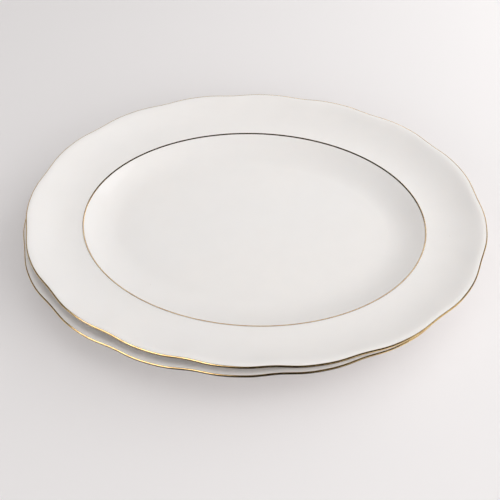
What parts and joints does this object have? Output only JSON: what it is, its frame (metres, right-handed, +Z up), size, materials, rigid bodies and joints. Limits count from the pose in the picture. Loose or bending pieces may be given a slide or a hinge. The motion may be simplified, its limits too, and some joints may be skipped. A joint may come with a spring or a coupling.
{
  "type": "serving platter",
  "caption": "Oval china serving platter with a softly scalloped gilt lip and a gold verge line, nested on its matching platter.",
  "frame": {"origin": "centre of the lower platter's foot ring, on the table", "axes": "+X along the lower platter's length, +Y across it, +Z up out of the wells"},
  "size_m": [0.3647, 0.2659, 0.0401],
  "materials": {
    "glazed_porcelain": "warm white china under a glossy clear glaze",
    "fired_gold": "bright fired gold line, slightly rubbed"
  },
  "bodies": {
    "lower_platter": {"lower_platter_body": "glazed_porcelain", "lower_platter_rim_gilding": "fired_gold", "lower_platter_verge_gilding": "fired_gold"},
    "upper_platter": {"upper_platter_body": "glazed_porcelain", "upper_platter_rim_gilding": "fired_gold", "upper_platter_verge_gilding": "fired_gold"}
  },
  "joints": [
    {"name": "upper_platter_lift", "type": "slide", "parent": "lower_platter", "child": "upper_platter", "axis": [0, 0, 1], "range_m": [0, 0.06]}
  ]
}
